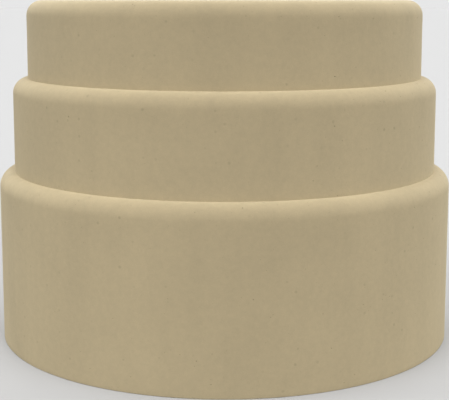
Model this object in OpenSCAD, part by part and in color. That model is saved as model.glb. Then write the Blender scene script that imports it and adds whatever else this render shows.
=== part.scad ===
// Stepped round column base, cast in one piece of buff cast stone.
// Three round tiers stand on each other, and each one sets back from the one
// below by a step whose upper edge is a quarter-round nose. The column's shaft
// stands on the flat top of the last tier.
// Millimetres, +Z up. The origin is the centre of the bed, the flat underside.

/* [Tiers] */
// Diameter of the bottom tier, which is the size across the bed
base_d = 610; // [400:5:900]
// Height of the bottom tier
bottom_tier_h = 225; // [80:1:400]
// Height of the middle tier
middle_tier_h = 123; // [50:1:250]
// Height of the top tier, which carries the shaft
top_tier_h = 102; // [50:1:250]

/* [Steps] */
// Set-back of each tier from the one below it
step_w = 20; // [6:0.5:40]
// Radius of the nose on the upper edge of the bottom tier
bottom_nose_r = 20; // [2:0.5:40]
// Radius of the nose on the upper edge of the middle tier
middle_nose_r = 20; // [2:0.5:40]
// Radius of the nose on the upper edge of the top tier
top_nose_r = 20; // [2:0.5:40]

/* [Bed] */
// Radius of the small arris that keeps the bed's edge from chipping
bed_arris_r = 1; // [0.5:0.5:5]

/* [Hidden] */

$fn = 128;

// Each tier is [radius, height of its top above the bed, nose radius].
bottom_r = base_d / 2;
bottom_top_z = bottom_tier_h;
middle_top_z = bottom_top_z + middle_tier_h;
top_top_z = middle_top_z + top_tier_h;
TIERS = [
    [bottom_r, bottom_top_z, bottom_nose_r],
    [bottom_r - step_w, middle_top_z, middle_nose_r],
    [bottom_r - 2 * step_w, top_top_z, top_nose_r],
];

buff_stone = [0.76, 0.70, 0.57];

// Half section of one tier. It runs from foot_z up to the tier's top, with a
// straight wall at radius r and a quarter-round nose at the upper corner.
module tier_section(r, foot_z, top_z, nose_r) {
    translate([0, foot_z]) square([r - nose_r, top_z - foot_z]);
    translate([0, foot_z]) square([r, top_z - nose_r - foot_z]);
    translate([r - nose_r, top_z - nose_r]) circle(nose_r);
}

// The thin slice of the bottom tier next to the bed, with its rounded arris.
module bed_section(r, arris_r) {
    square([r - arris_r, 2 * arris_r]);
    translate([r - arris_r, arris_r]) circle(arris_r);
}

// Every tier's section starts just above the bed, inside the tiers below it,
// so the wall of a tier always reaches the nose of the one it stands on.
module column_base() {
    color(buff_stone)
        rotate_extrude() {
            bed_section(bottom_r, bed_arris_r);
            for (t = TIERS) tier_section(t[0], bed_arris_r, t[1], t[2]);
        }
}

column_base();
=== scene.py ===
import math

import bpy
import numpy as np
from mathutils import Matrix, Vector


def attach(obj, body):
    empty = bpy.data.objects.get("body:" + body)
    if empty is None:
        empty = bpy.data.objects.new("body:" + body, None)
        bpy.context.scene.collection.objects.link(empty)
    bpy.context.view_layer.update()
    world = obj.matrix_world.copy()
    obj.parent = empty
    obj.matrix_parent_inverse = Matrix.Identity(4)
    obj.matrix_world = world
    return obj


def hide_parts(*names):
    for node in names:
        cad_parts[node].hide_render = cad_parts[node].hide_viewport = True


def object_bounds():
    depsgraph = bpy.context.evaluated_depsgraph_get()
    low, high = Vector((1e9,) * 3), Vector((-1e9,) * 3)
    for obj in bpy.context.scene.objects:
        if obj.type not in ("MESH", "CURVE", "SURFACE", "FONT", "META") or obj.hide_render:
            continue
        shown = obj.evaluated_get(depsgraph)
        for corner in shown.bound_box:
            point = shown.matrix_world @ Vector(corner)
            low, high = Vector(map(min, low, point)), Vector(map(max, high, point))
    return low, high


# Looks of the stepped round column base, cast in one piece of buff cast stone. The packed
# solid gives the outline. The shown piece is one closed skin just inside it: smooth from the
# mould, faintly uneven, and pricked with the small air holes of cast stone.
# Metres, +Z up, with the origin at the centre of the bed.

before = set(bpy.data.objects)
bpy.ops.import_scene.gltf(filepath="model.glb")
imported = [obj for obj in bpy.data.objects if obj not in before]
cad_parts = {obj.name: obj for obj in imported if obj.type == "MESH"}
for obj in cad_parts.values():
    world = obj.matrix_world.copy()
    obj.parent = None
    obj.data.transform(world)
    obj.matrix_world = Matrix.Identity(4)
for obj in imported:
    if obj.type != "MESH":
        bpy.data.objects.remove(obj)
cad_low, cad_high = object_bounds()

NODE = "column_base"
BODY = "root"

# ---------------------------------------------------------------------------
# Sizes of the skin
# ---------------------------------------------------------------------------
SEGMENTS = 320  # steps round the axis
DISC_STEPS = SEGMENTS // 4  # cells across the bed and the seat, so that their rims match the walls
WALL_ROW = 0.006  # height of a row of cells on an upright wall
NOSE_STEPS = 10  # rows on a quarter-round nose
ARRIS_STEPS = 3  # rows on the small arris at the bed
LEAST_WALL = 0.01  # an upright stretch shorter than this is part of a nose

SKIN_DEPTH = 0.00005  # the skin lies at least this far inside the solid
UNEVEN_DEPTH = 0.00012  # and dips by up to this much more
UNEVEN_LENGTH = 0.055  # usual distance between two dips
UNEVEN_RANGE = (0.5, 1.4)  # the slowest and the fastest wave, as shares of one in that distance
UNEVEN_WAVES = 40  # how many plane waves are added up

FACE_HOLES = 1300  # air holes in the walls, the noses and the seat
FACE_HOLE_R = 0.00046  # median radius of an air hole
BED_HOLES = 330  # air holes in the bed, which was struck off by hand
BED_HOLE_R = 0.0006  # and their median radius
HOLE_R_SPREAD = 0.32  # spread of the radii, as a share
HOLE_R_LEAST = 0.00018  # no hole is narrower
HOLE_R_SHARE = 0.40  # and none is wider, as a share of its cell
HOLE_REACH = 0.46  # how far a hole's rim may lie from its cell's middle, as a share of the cell
HOLE_DEPTH = 0.70  # depth of a hole, as a share of its radius
HOLE_WOBBLE = (0.9, 1.05)  # least and most reach of a rim point, as a share of the radius
HOLE_SQUEEZE = (0.8, 1.0)  # least and most width of a hole, as a share of its length
RIM = 8  # points round a hole
RING_REACH = 0.74  # the ring inside a hole, as a share of the rim's radius
RING_DEPTH = 0.72  # and of the hole's depth
CREASE_ANGLE = math.radians(40)  # faces that meet more sharply than this show an edge

SHEET_SIDE = 1.30  # side of the square that the texture map unrolls onto, in metres of stone
SHEET_GAP = 0.004  # between two parts of the map

RANDOM_SEED = 41


# ---------------------------------------------------------------------------
# The outline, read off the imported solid
# ---------------------------------------------------------------------------
def mesh_points(obj):
    """The points of an object's mesh, as rows of x, y, z."""
    co = np.empty(len(obj.data.vertices) * 3)
    obj.data.vertices.foreach_get("co", co)
    return co.reshape(-1, 3)


def tiers_of(obj):
    """Radius, foot and top of each upright wall of a turned solid, widest first.

    Every point of the solid has a radius, the square root of x squared plus y squared. A wall
    is a radius whose points span more than LEAST_WALL of height, from its foot to its top.
    """
    points = mesh_points(obj)
    radius = np.hypot(points[:, 0], points[:, 1]).round(6)
    found, group = np.unique(radius, return_inverse=True)
    foot = np.full(len(found), np.inf)
    top = np.full(len(found), -np.inf)
    np.minimum.at(foot, group, points[:, 2])
    np.maximum.at(top, group, points[:, 2])
    walls = np.flatnonzero(top - foot > LEAST_WALL)[::-1]
    return [(found[w], foot[w], top[w]) for w in walls]


def line(start, end, normal, step):
    """Points at equal steps on a straight stretch of the outline, with its outward normal."""
    start, end = np.array(start), np.array(end)
    count = max(1, round(np.linalg.norm(end - start) / step))
    share = np.linspace(0, 1, count + 1)[:, None]
    return start + share * (end - start), np.tile(normal, (count + 1, 1))


def arc(centre, radius, first, last, steps):
    """Points and normals on an arc: centre plus radius times (cos a, sin a), at equal steps of a."""
    a = np.linspace(first, last, steps + 1)
    normal = np.stack([np.cos(a), np.sin(a)], axis=1)
    return np.array(centre) + radius * normal, normal


def outline_of(tiers, seat_z):
    """The half section from the bed's rim up to the seat's rim.

    It is an arris, then for each tier an upright wall and a quarter-round nose that ends at the
    foot of the next wall. Returns the points as (radius, height), and at each point the vector
    that moves it when the whole surface moves out by one. Where two stretches with unit normals
    m and n meet, that vector is (m + n) / (1 + m.n), which keeps both at that distance.
    """
    radius, foot, _ = tiers[0]
    stretches = [arc((radius - foot, foot), foot, -math.pi / 2, 0, ARRIS_STEPS)]
    foots_above = [t[1] for t in tiers[1:]] + [seat_z]
    for (radius, foot, top), nose_top in zip(tiers, foots_above):
        nose_r = nose_top - top
        stretches.append(line((radius, foot), (radius, top), (1.0, 0.0), WALL_ROW))
        stretches.append(arc((radius - nose_r, top), nose_r, 0, math.pi / 2, NOSE_STEPS))
    points, moves = [stretches[0][0]], [stretches[0][1]]
    for place, normal in stretches[1:]:
        m, n = moves[-1][-1], normal[0]
        moves[-1][-1] = (m + n) / (1 + m @ n)
        points.append(place[1:])
        moves.append(normal[1:])
    return np.concatenate(points), np.concatenate(moves)


# ---------------------------------------------------------------------------
# The skin: points, four-cornered cells, and each cell's place on the texture map
# ---------------------------------------------------------------------------
def turned_grid(outline, moves):
    """The outline turned round the axis.

    Point (i, j) is (r cos a, r sin a, z) with r, z the outline's point j and a = 2 pi i /
    SEGMENTS. Returns the points, their outward vectors, the cells' corners counter-clockwise
    from outside, and the cells' corners on the map: half a turn of skin to a strip, laid out
    by arc length along the outline and by the widest radius round the axis.
    """
    rows = len(outline)
    a = np.arange(SEGMENTS) * (2 * math.pi / SEGMENTS)
    spin = np.stack([np.cos(a), np.sin(a)], axis=1)
    points = np.empty((rows, SEGMENTS, 3))
    outward = np.empty((rows, SEGMENTS, 3))
    for table, values in ((points, outline), (outward, moves)):
        table[:, :, :2] = values[:, None, :1] * spin
        table[:, :, 2] = values[:, None, 1]
    j, i = np.meshgrid(np.arange(rows - 1), np.arange(SEGMENTS), indexing="ij")
    step = np.array([[0, 0], [0, 1], [1, 1], [1, 0]])  # row and column steps to the four corners
    corner_j = j[:, :, None] + step[:, 0]
    corner_i = i[:, :, None] + step[:, 1]
    cells = corner_j * SEGMENTS + corner_i % SEGMENTS

    length = np.concatenate([[0], np.cumsum(np.linalg.norm(np.diff(outline, axis=0), axis=1))])
    half = SEGMENTS // 2
    strip = (i // half)[:, :, None]
    across = (corner_i - strip * half) * (2 * math.pi * outline[:, 0].max() / SEGMENTS)
    up = length[corner_j] + strip * (length[-1] + SHEET_GAP)
    place = np.stack([SHEET_GAP + across, SHEET_GAP + up], axis=-1)
    return (points.reshape(-1, 3), outward.reshape(-1, 3),
            cells.reshape(-1, 4), place.reshape(-1, 4, 2))


def disc_grid(rim_ids, radius, z, faces_up, first_id, map_centre, map_radius):
    """A flat disc of square cells that closes a ring of points.

    A square grid from -1 to 1 is drawn out to a disc: with s the larger and t the smaller of
    a point's two coordinates, its radius is s and its angle is a quarter of pi times t / s from
    the axis of s. The grid's edge then falls on the ring at equal angles.
    Returns the new inner points, their outward vectors, the cells and their corners on the map.
    """
    side = np.linspace(-1, 1, DISC_STEPS + 1)
    b, a = np.meshgrid(side, side, indexing="ij")
    wide = np.abs(a) >= np.abs(b)
    s = np.where(wide, a, b)
    t = np.where(wide, b, a)
    turn = np.divide(t, s, out=np.zeros_like(s), where=s != 0) * (math.pi / 4)
    angle = np.where(wide, turn, math.pi / 2 - turn)
    x, y = s * np.cos(angle), s * np.sin(angle)

    edge = np.maximum(np.abs(a), np.abs(b)) > 1 - 1e-9
    ids = np.empty(a.shape, int)
    ring_step = np.round(np.arctan2(y, x) * SEGMENTS / (2 * math.pi)).astype(int)
    ids[edge] = rim_ids[ring_step[edge] % SEGMENTS]
    ids[~edge] = first_id + np.arange((~edge).sum())
    points = np.stack([radius * x, radius * y, np.full_like(x, z)], axis=-1)[~edge]
    outward = np.zeros_like(points)
    outward[:, 2] = 1 if faces_up else -1

    place = np.array(map_centre) + map_radius * np.stack([x, y], axis=-1)
    corners = [(0, 0), (0, 1), (1, 1), (1, 0)]
    if not faces_up:
        corners = corners[::-1]
    end = DISC_STEPS
    cells = np.stack([ids[j:j + end, i:i + end] for j, i in corners], axis=-1)
    laid = np.stack([place[j:j + end, i:i + end] for j, i in corners], axis=2)
    return points, outward, cells.reshape(-1, 4), laid.reshape(-1, 4, 2)


def unevenness(points, rng):
    """How far each point dips, from 0 to 1.

    It is half of 1 plus tanh of w, where w is the sum of plane waves cos(k.p + phase) in
    random directions, scaled to a spread of about one.
    """
    k = rng.normal(size=(UNEVEN_WAVES, 3))
    k *= (2 * math.pi / UNEVEN_LENGTH) / np.linalg.norm(k, axis=1, keepdims=True)
    k *= rng.uniform(*UNEVEN_RANGE, size=(UNEVEN_WAVES, 1))
    phase = rng.uniform(0, 2 * math.pi, UNEVEN_WAVES)
    w = np.cos(points @ k.T + phase).sum(axis=1) * math.sqrt(2 / UNEVEN_WAVES)
    return 0.5 + 0.5 * np.tanh(w)


def pick_cells(points, cells, count, rng):
    """Picks count of the cells at random, each with a chance in step with its area."""
    a, b, c, d = (points[cells[:, k]] for k in range(4))
    area = np.linalg.norm(np.cross(c - a, d - b), axis=1)
    return rng.choice(len(cells), count, replace=False, p=area / area.sum())


def sink_holes(points, cells, laid, median_r, first_id, rng):
    """Sinks one small round hole in each of the given cells.

    In a cell with corners p0 to p3, the point (u, v) is the mix of the corners by (1-u)(1-v),
    u(1-v), uv and (1-u)v. The rim is eight points of an ellipse round a random spot, the inner
    ring is the same ellipse drawn in and sunk, and one more point is the bottom.
    Returns the new points, how deep each lies as a share of its hole, and the quads, the
    triangles and their corners' places on the map.
    """
    n = len(cells)
    corner = points[cells]
    along_u, along_v = corner[:, 1] - corner[:, 0], corner[:, 3] - corner[:, 0]
    size = np.stack([np.linalg.norm(along_u, axis=1), np.linalg.norm(along_v, axis=1)], axis=1)
    room = size.min(axis=1)
    r = median_r * np.exp(rng.normal(0, HOLE_R_SPREAD, n))
    r = np.clip(r, HOLE_R_LEAST, HOLE_R_SHARE * room)
    centre = 0.5 + (HOLE_REACH - r / room)[:, None] * rng.uniform(-1, 1, (n, 2))

    a = np.arange(RIM) * (2 * math.pi / RIM)
    reach = rng.uniform(*HOLE_WOBBLE, (n, RIM))
    spin = rng.uniform(0, math.pi, (n, 1))
    squeeze = rng.uniform(*HOLE_SQUEEZE, (n, 1))
    long, short = reach * np.cos(a - spin), reach * np.sin(a - spin) * squeeze
    rim = np.stack([long * np.cos(spin) - short * np.sin(spin),
                    long * np.sin(spin) + short * np.cos(spin)], axis=-1)
    drawn_in = np.repeat([1.0, RING_REACH, 0.0], [RIM, RIM, 1])
    share = np.repeat([0.0, RING_DEPTH, 1.0], [RIM, RIM, 1])
    offset = np.concatenate([rim, rim, np.zeros((n, 1, 2))], axis=1) * drawn_in[:, None]
    u, v = np.moveaxis(centre[:, None] + offset * (r[:, None] / size)[:, None], -1, 0)
    mix = np.stack([(1 - u) * (1 - v), u * (1 - v), u * v, (1 - u) * v], axis=-1)
    inward = -np.cross(along_u, along_v)
    inward /= np.linalg.norm(inward, axis=1, keepdims=True)
    sunk = (HOLE_DEPTH * r[:, None] * share)[:, :, None] * inward[:, None]
    place = mix @ corner + sunk

    # Local numbers: 0 to 3 the cell's corners, then the rim, the ring and the bottom.
    m = np.arange(RIM)
    outer, inner, bottom = 4 + m, 4 + RIM + m, np.full(RIM, 4 + 2 * RIM)
    wall = np.stack([outer, np.roll(outer, -1), np.roll(inner, -1), inner], axis=1)
    floor = np.stack([inner, np.roll(inner, -1), bottom], axis=1)
    # Rim point 2 k + 1 faces corner k + 2, and rim point 2 k faces the side before that corner.
    k = np.arange(4)
    facing, before, even = (k + 2) % 4, (k + 1) % 4, 4 + 2 * k
    apron = np.concatenate([
        np.stack([facing, even + 1, even], axis=1),
        np.stack([facing, 4 + (2 * k + 2) % RIM, even + 1], axis=1),
        np.stack([before, facing, even], axis=1),
    ])
    triangle = np.concatenate([floor, apron])
    new_ids = first_id + np.arange(place.shape[0] * place.shape[1]).reshape(n, -1)
    ids = np.concatenate([cells, new_ids], axis=1)
    on_map = np.concatenate([laid, mix @ laid], axis=1)
    return (place.reshape(-1, 3), np.tile(share, n),
            ids[:, wall].reshape(-1, 4), on_map[:, wall].reshape(-1, 4, 2),
            ids[:, triangle].reshape(-1, 3), on_map[:, triangle].reshape(-1, 3, 2))


def build_skin(tiers):
    """The whole skin: its points, faces, places on the map, hole depths and struck faces."""
    rng = np.random.default_rng(RANDOM_SEED)
    outline, moves = outline_of(tiers, cad_high.z)
    points, outward, cells, laid = turned_grid(outline, moves)
    last_row = (len(outline) - 1) * SEGMENTS
    ring = np.arange(SEGMENTS)

    strips_end = SHEET_GAP * 2 + math.pi * outline[:, 0].max()
    map_r = (SHEET_SIDE - strips_end) / 2 - SHEET_GAP
    map_x = strips_end + map_r
    for rim_ids, r, z, up, map_y in (
        (last_row + ring, outline[-1, 0], cad_high.z, True, SHEET_GAP + map_r),
        (ring, outline[0, 0], cad_low.z, False, SHEET_SIDE - SHEET_GAP - map_r),
    ):
        new = disc_grid(rim_ids, r, z, up, len(points), (map_x, map_y), map_r)
        points = np.concatenate([points, new[0]])
        outward = np.concatenate([outward, new[1]])
        cells = np.concatenate([cells, new[2]])
        laid = np.concatenate([laid, new[3]])
    in_bed = np.arange(len(cells)) >= len(cells) - DISC_STEPS ** 2

    dip = SKIN_DEPTH + UNEVEN_DEPTH * unevenness(points, rng)
    points = points - dip[:, None] * outward

    kept = np.ones(len(cells), bool)
    depth = np.zeros(len(points))
    holes = []
    for part, count, median_r in (
        (~in_bed, FACE_HOLES, FACE_HOLE_R),
        (in_bed, BED_HOLES, BED_HOLE_R),
    ):
        picked = np.flatnonzero(part)
        picked = picked[pick_cells(points, cells[picked], count, rng)]
        kept[picked] = False
        new = sink_holes(points, cells[picked], laid[picked], median_r, len(points), rng)
        points = np.concatenate([points, new[0]])
        depth = np.concatenate([depth, new[1]])
        holes.append(new[2:])
    (q1, qm1, t1, tm1), (q2, qm2, t2, tm2) = holes
    struck = np.repeat([False, True, False, True], [len(q1), len(q2), len(t1), len(t2)])
    return {
        "points": points,
        "depth": depth,
        "quads": np.concatenate([cells[kept], q1, q2]),
        "quad_map": np.concatenate([laid[kept], qm1, qm2]),
        "triangles": np.concatenate([t1, t2]),
        "triangle_map": np.concatenate([tm1, tm2]),
        "struck": np.concatenate([in_bed[kept], struck]),
    }


def make_mesh(name, points, depth, quads, quad_map, triangles, triangle_map, struck):
    """A mesh of quads and triangles with a depth attribute, a texture map and sharp creases."""
    mesh = bpy.data.meshes.new(name)
    mesh.vertices.add(len(points))
    mesh.vertices.foreach_set("co", points.ravel())
    corners = np.concatenate([quads.ravel(), triangles.ravel()])
    mesh.loops.add(len(corners))
    mesh.loops.foreach_set("vertex_index", corners)
    start = np.concatenate([np.arange(len(quads)) * 4,
                            quads.size + np.arange(len(triangles)) * 3])
    mesh.polygons.add(len(start))
    mesh.polygons.foreach_set("loop_start", start)
    mesh.polygons.foreach_set("material_index", struck.astype(int))
    mesh.polygons.foreach_set("use_smooth", np.ones(len(start), bool))
    mesh.update(calc_edges=True)
    mesh.validate()
    mesh.set_sharp_from_angle(angle=CREASE_ANGLE)
    mesh.attributes.new("hole_depth", "FLOAT", "POINT").data.foreach_set("value", depth)
    unrolled = mesh.uv_layers.new(name="OFBake", do_init=False)
    place = np.concatenate([quad_map.reshape(-1, 2), triangle_map.reshape(-1, 2)]) / SHEET_SIDE
    unrolled.uv.foreach_set("vector", place.ravel())
    return mesh


# ---------------------------------------------------------------------------
# Finishes
# ---------------------------------------------------------------------------
BUFF = (0.53, 0.441, 0.276)  # the stone where it is clean and even
STRUCK_PALER = 1.03  # how much paler the struck bed is
SHEEN = 0.35  # weak, as on bare stone
POWDERY = 1.0  # how evenly the stone scatters light, from 0, a smooth face, to 1, a rough one
CLOUDING_START = (3.8, 3.7, 1.8)  # where in the endless pattern of patches and bands it lies
BAND_SQUASH = (1.0, 1.0, 0.12)  # draws the bands out along the height
# Painted shade: the pin pricks are darkened in colour for the shade inside them.
PAINTED_PORE_SHADE = 0.45  # and how much darker the strongest soft freckle is
FRECKLE_SHADE = 0.16  # and a soft freckle, where a darker grain lies just under the skin
DOT_FADE = 2.5  # how steeply a dot rises from its edge
MOTTLE_HEIGHT = 0.5  # how much of the bump the mottle gives, against the grain's 1
PORE_HEIGHT = -2.0  # and how far a pin prick dips in it
ROUGHER_WHEN_PALE = 0.6  # how much rougher the stone is where its grain is paler


def new_group(name, inputs, outputs):
    """An empty shader node group with the given sockets, and its input and output nodes."""
    tree = bpy.data.node_groups.new(name, "ShaderNodeTree")
    for label, kind, value in inputs:
        socket = tree.interface.new_socket(name=label, in_out="INPUT", socket_type=kind)
        if value is not None:
            socket.default_value = value
    for label, kind in outputs:
        tree.interface.new_socket(name=label, in_out="OUTPUT", socket_type=kind)
    return tree, tree.nodes.new("NodeGroupInput"), tree.nodes.new("NodeGroupOutput")


def math_node(tree, operation, a, b=None, c=None, clamp=False):
    """A Math node with numbers or sockets as its inputs. Returns its output socket."""
    node = tree.nodes.new("ShaderNodeMath")
    node.operation = operation
    node.use_clamp = clamp
    for slot, value in zip(node.inputs, (a, b, c)):
        if isinstance(value, bpy.types.NodeSocket):
            tree.links.new(value, slot)
        elif value is not None:
            slot.default_value = value
    return node.outputs[0]


def noise(tree, vector, scale, detail, roughness, distortion=0.0):
    """A noise pattern from about -1 to 1, from a vector socket and a scale socket."""
    node = tree.nodes.new("ShaderNodeTexNoise")
    node.noise_dimensions = "3D"
    node.inputs["Detail"].default_value = detail
    node.inputs["Roughness"].default_value = roughness
    node.inputs["Distortion"].default_value = distortion
    tree.links.new(scale, node.inputs["Scale"])
    tree.links.new(vector, node.inputs["Vector"])
    return math_node(tree, "MULTIPLY_ADD", node.outputs["Fac"], 2.0, -1.0)


def mapping(tree, vector, label, value):
    """A Mapping node with one of its Location and Scale set. Returns its output socket."""
    node = tree.nodes.new("ShaderNodeMapping")
    node.inputs[label].default_value = value
    tree.links.new(vector, node.inputs["Vector"])
    return node.outputs["Vector"]


def clouding_group():
    """Broad soft patches, and faint upright bands where the mix ran down the mould."""
    tree, given, made = new_group(
        "Stone clouding",
        [("Vector", "NodeSocketVector", None), ("Patch Scale", "NodeSocketFloat", 9.0),
         ("Band Scale", "NodeSocketFloat", 26.0), ("Patches", "NodeSocketFloat", 1.0),
         ("Bands", "NodeSocketFloat", 1.0)],
        [("Value", "NodeSocketFloat")])
    at = mapping(tree, given.outputs["Vector"], "Location", CLOUDING_START)
    patches = noise(tree, at, given.outputs["Patch Scale"], detail=3.0, roughness=0.55, distortion=0.4)
    squashed = mapping(tree, at, "Scale", BAND_SQUASH)
    bands = noise(tree, squashed, given.outputs["Band Scale"], detail=2.0, roughness=0.5)
    first = math_node(tree, "MULTIPLY", patches, given.outputs["Patches"])
    total = math_node(tree, "MULTIPLY_ADD", bands, given.outputs["Bands"], first)
    tree.links.new(total, made.inputs["Value"])
    return tree


def grain_group():
    """The sand in the mix: mottle a few grains wide, and single grains."""
    tree, given, made = new_group(
        "Sand grain",
        [("Vector", "NodeSocketVector", None), ("Mottle Scale", "NodeSocketFloat", 170.0),
         ("Grain Scale", "NodeSocketFloat", 900.0), ("Mottle", "NodeSocketFloat", 1.0),
         ("Grain", "NodeSocketFloat", 1.0)],
        [("Value", "NodeSocketFloat"), ("Height", "NodeSocketFloat")])
    at = given.outputs["Vector"]
    mottle = noise(tree, at, given.outputs["Mottle Scale"], detail=2.0, roughness=0.6)
    grain = noise(tree, at, given.outputs["Grain Scale"], detail=1.0, roughness=0.5)
    first = math_node(tree, "MULTIPLY", mottle, given.outputs["Mottle"])
    total = math_node(tree, "MULTIPLY_ADD", grain, given.outputs["Grain"], first)
    tree.links.new(total, made.inputs["Value"])
    height = math_node(tree, "MULTIPLY_ADD", mottle, MOTTLE_HEIGHT, grain)
    tree.links.new(height, made.inputs["Height"])
    return tree


def dots_group():
    """Scattered small dots: a random strength in each dot, fading out to 0 at its edge.

    Each cell of a Voronoi pattern holds one dot, and only a share of the cells keep theirs.
    """
    tree, given, made = new_group(
        "Scattered dots",
        [("Vector", "NodeSocketVector", None), ("Scale", "NodeSocketFloat", 150.0),
         ("Radius", "NodeSocketFloat", 0.1), ("Share", "NodeSocketFloat", 0.15)],
        [("Mask", "NodeSocketFloat")])
    cells = tree.nodes.new("ShaderNodeTexVoronoi")
    cells.voronoi_dimensions = "3D"
    cells.feature = "F1"
    tree.links.new(given.outputs["Vector"], cells.inputs["Vector"])
    tree.links.new(given.outputs["Scale"], cells.inputs["Scale"])
    chance = tree.nodes.new("ShaderNodeSeparateColor")
    tree.links.new(cells.outputs["Color"], chance.inputs["Color"])
    keep = math_node(tree, "LESS_THAN", chance.outputs["Red"], given.outputs["Share"])
    near = math_node(tree, "DIVIDE", cells.outputs["Distance"], given.outputs["Radius"])
    dot = math_node(tree, "SUBTRACT", 1.0, near, clamp=True)
    dot = math_node(tree, "MULTIPLY", dot, DOT_FADE, clamp=True)
    dot = math_node(tree, "MULTIPLY", dot, keep)
    tree.links.new(math_node(tree, "MULTIPLY", dot, chance.outputs["Green"]), made.inputs["Mask"])
    return tree


def place_group(tree, group, vector, **values):
    """Puts a node group into a material's tree, fed by a vector, with its own values."""
    node = tree.nodes.new("ShaderNodeGroup")
    node.node_tree = group
    tree.links.new(vector, node.inputs["Vector"])
    for label, value in values.items():
        node.inputs[label.replace("_", " ")].default_value = value
    return node


def tint(tree, colour, factor):
    """A colour times a factor socket. Returns its output socket."""
    node = tree.nodes.new("ShaderNodeVectorMath")
    node.operation = "SCALE"
    node.inputs[0].default_value = colour
    tree.links.new(factor, node.inputs["Scale"])
    return node.outputs[0]


def stone_material(name, groups, colour, clouding, grain, pores, freckles, roughness, painted_hole_shade,
                   bump_height):
    """Cast stone: faintly clouded and banded, grained and freckled, with painted shade in its pin
    pricks and inside its holes.
    """
    material = bpy.data.materials.new(name)
    material.use_nodes = True
    tree = material.node_tree
    shader = tree.nodes["Principled BSDF"]
    at = tree.nodes.new("ShaderNodeTexCoord").outputs["Object"]
    cloud = place_group(tree, groups["clouding"], at, **clouding)
    sand = place_group(tree, groups["grain"], at, **grain)
    prick = place_group(tree, groups["dots"], at, **pores)
    freckle = place_group(tree, groups["dots"], at, **freckles)
    hole = tree.nodes.new("ShaderNodeAttribute")
    hole.attribute_type = "GEOMETRY"
    hole.attribute_name = "hole_depth"

    shade = math_node(tree, "ADD", cloud.outputs["Value"], sand.outputs["Value"])
    shade = math_node(tree, "ADD", shade, 1.0)
    # Painted shade in the pin pricks.
    shade = math_node(tree, "MULTIPLY_ADD", prick.outputs["Mask"], -PAINTED_PORE_SHADE, shade)
    shade = math_node(tree, "MULTIPLY_ADD", freckle.outputs["Mask"], -FRECKLE_SHADE, shade)
    # Painted shade inside the air holes, deepest at their bottoms, on top of the shade that their depth
    # gives.
    shade = math_node(tree, "MULTIPLY_ADD", hole.outputs["Fac"], -painted_hole_shade, shade)
    tree.links.new(tint(tree, colour, shade), shader.inputs["Base Color"])

    rough = math_node(tree, "MULTIPLY_ADD", sand.outputs["Value"], ROUGHER_WHEN_PALE, roughness)
    tree.links.new(rough, shader.inputs["Roughness"])
    shader.inputs["Specular IOR Level"].default_value = SHEEN
    shader.inputs["Diffuse Roughness"].default_value = POWDERY

    height = math_node(tree, "MULTIPLY_ADD", prick.outputs["Mask"], PORE_HEIGHT, sand.outputs["Height"])
    bump = tree.nodes.new("ShaderNodeBump")
    bump.inputs["Distance"].default_value = bump_height
    bump.inputs["Strength"].default_value = 1.0
    tree.links.new(height, bump.inputs["Height"])
    tree.links.new(bump.outputs["Normal"], shader.inputs["Normal"])
    return material


def cast_stone_piece():
    """The whole base as one closed skin in two finishes: from the mould, and the struck bed."""
    skin = build_skin(tiers_of(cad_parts[NODE]))
    mesh = make_mesh("column_base_skin", **skin)
    groups = {"clouding": clouding_group(), "grain": grain_group(), "dots": dots_group()}
    mesh.materials.append(stone_material(
        "buff_cast_stone", groups, BUFF,
        clouding={"Patch_Scale": 12.0, "Band_Scale": 26.0, "Patches": 0.055, "Bands": 0.06},
        grain={"Mottle_Scale": 140.0, "Grain_Scale": 700.0, "Mottle": 0.075, "Grain": 0.05},
        pores={"Scale": 150.0, "Radius": 0.08, "Share": 0.06},
        freckles={"Scale": 75.0, "Radius": 0.16, "Share": 0.42},
        roughness=0.80, painted_hole_shade=0.34, bump_height=0.00004))
    mesh.materials.append(stone_material(
        "struck_cast_stone", groups, tuple(c * STRUCK_PALER for c in BUFF),
        clouding={"Patch_Scale": 6.0, "Band_Scale": 12.0, "Patches": 0.07, "Bands": 0.0},
        grain={"Mottle_Scale": 110.0, "Grain_Scale": 600.0, "Mottle": 0.07, "Grain": 0.05},
        pores={"Scale": 110.0, "Radius": 0.10, "Share": 0.25},
        freckles={"Scale": 80.0, "Radius": 0.15, "Share": 0.25},
        roughness=0.9, painted_hole_shade=0.35, bump_height=0.00012))
    piece = bpy.data.objects.new("cast_stone", mesh)
    bpy.context.scene.collection.objects.link(piece)
    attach(piece, BODY)
    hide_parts(NODE)
    return piece


# ---------------------------------------------------------------------------
# Studio: floor, background, lamps and camera
# ---------------------------------------------------------------------------
FLOOR_RADIUS = 60.0
FLOOR_SIDES = 96
FLOOR_SEEN = 0.57  # shade of the floor where the camera sees it
FLOOR_BOUNCE = 0.08  # and where it throws light back on the object
BACKGROUND = 0.80  # shade of the background, where 1 is white
SKY_LIGHT = 0.20  # the even fill

LENS = 87.44
SENSOR = 36.0
CAMERA_BACK = 1.4936  # from the axis, level
CAMERA_RISE = 0.0007  # above the seat
CAMERA_DIP = math.radians(8.169)
CAMERA_SHIFT = -0.0978

# Each lamp is name, strength, azimuth round the base (0 in front, 90 on its right), elevation and
# softness, all angles in degrees.
LAMPS = (
    ("overhead", 0.75, 0.0, 90.0, 30.0),
    ("front_high", 0.40, 0.0, 60.0, 50.0),
    ("front_low", 0.85, 25.0, 20.0, 30.0),
    ("front_right", 0.70, 45.0, 30.0, 50.0),
    ("front_left", 1.15, -45.0, 30.0, 50.0),
    ("right_edge", 0.50, 100.0, 20.0, 20.0),
    ("left_edge", 0.55, -90.0, 30.0, 20.0),
    ("back_right", 0.60, 125.0, 25.0, 50.0),
    ("back_left", 0.60, -125.0, 25.0, 50.0),
    ("back", 1.00, 180.0, 30.0, 50.0),
)


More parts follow.
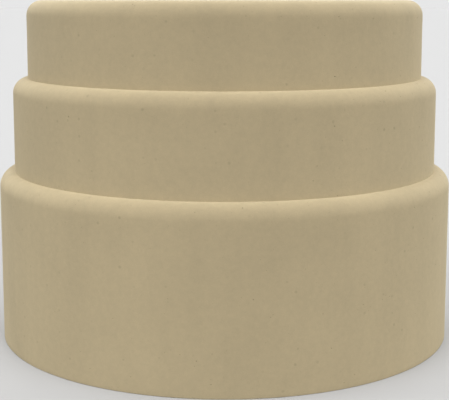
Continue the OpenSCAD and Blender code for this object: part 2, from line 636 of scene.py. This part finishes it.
def seen_or_not(tree, seen, unseen):
    """One value where the camera, a gloss or a clear piece looks, and another for other light."""
    path = tree.nodes.new("ShaderNodeLightPath")
    looks = math_node(tree, "ADD", path.outputs["Is Camera Ray"], path.outputs["Is Glossy Ray"])
    looks = math_node(tree, "ADD", looks, path.outputs["Is Transmission Ray"], clamp=True)
    return math_node(tree, "MULTIPLY_ADD", looks, seen - unseen, unseen)


def make_floor():
    """A round pale floor. It looks pale to the camera and throws back less light."""
    a = np.arange(FLOOR_SIDES) * (2 * math.pi / FLOOR_SIDES)
    level = np.full(FLOOR_SIDES, cad_low.z)
    rim = np.stack([FLOOR_RADIUS * np.cos(a), FLOOR_RADIUS * np.sin(a), level], axis=1)
    mesh = bpy.data.meshes.new("studio_floor")
    mesh.from_pydata(rim.tolist(), [], [list(range(FLOOR_SIDES))])
    material = bpy.data.materials.new("pale_floor")
    material.use_nodes = True
    tree = material.node_tree
    shader = tree.nodes["Principled BSDF"]
    shader.inputs["Roughness"].default_value = 1.0
    shader.inputs["Specular IOR Level"].default_value = 0.0
    tree.links.new(seen_or_not(tree, FLOOR_SEEN, FLOOR_BOUNCE), shader.inputs["Base Color"])
    mesh.materials.append(material)
    floor = bpy.data.objects.new("studio_floor", mesh)
    bpy.context.scene.collection.objects.link(floor)


def make_world():
    """A plain pale background, and an even fill from all round."""
    world = bpy.data.worlds.new("studio")
    bpy.context.scene.world = world
    world.use_nodes = True
    tree = world.node_tree
    background = tree.nodes["Background"]
    background.inputs["Color"].default_value = (1.0, 1.0, 1.0, 1.0)
    tree.links.new(seen_or_not(tree, BACKGROUND, SKY_LIGHT), background.inputs["Strength"])


def make_lamps():
    """Broad soft lamps far off, each shining at the object from its own side."""
    for name, strength, azimuth, elevation, softness in LAMPS:
        lamp = bpy.data.lights.new(name, "SUN")
        lamp.energy = strength
        lamp.angle = math.radians(softness)
        obj = bpy.data.objects.new("lamp_" + name, lamp)
        obj.rotation_euler = (math.radians(90 - elevation), 0.0, math.radians(azimuth))
        bpy.context.scene.collection.objects.link(obj)


def make_camera():
    """A long lens level with the seat, looking a little down at the front of the base."""
    data = bpy.data.cameras.new("camera")
    data.lens = LENS
    data.sensor_width = SENSOR
    data.shift_y = CAMERA_SHIFT
    data.clip_end = 2 * FLOOR_RADIUS
    camera = bpy.data.objects.new("camera", data)
    camera.location = (0.0, -CAMERA_BACK, cad_high.z + CAMERA_RISE)
    camera.rotation_euler = (math.pi / 2 - CAMERA_DIP, 0.0, 0.0)
    bpy.context.scene.collection.objects.link(camera)
    bpy.context.scene.camera = camera


make_camera()
cast_stone_piece()
make_floor()
make_world()
make_lamps()
bpy.context.scene.view_settings.view_transform = "Standard"
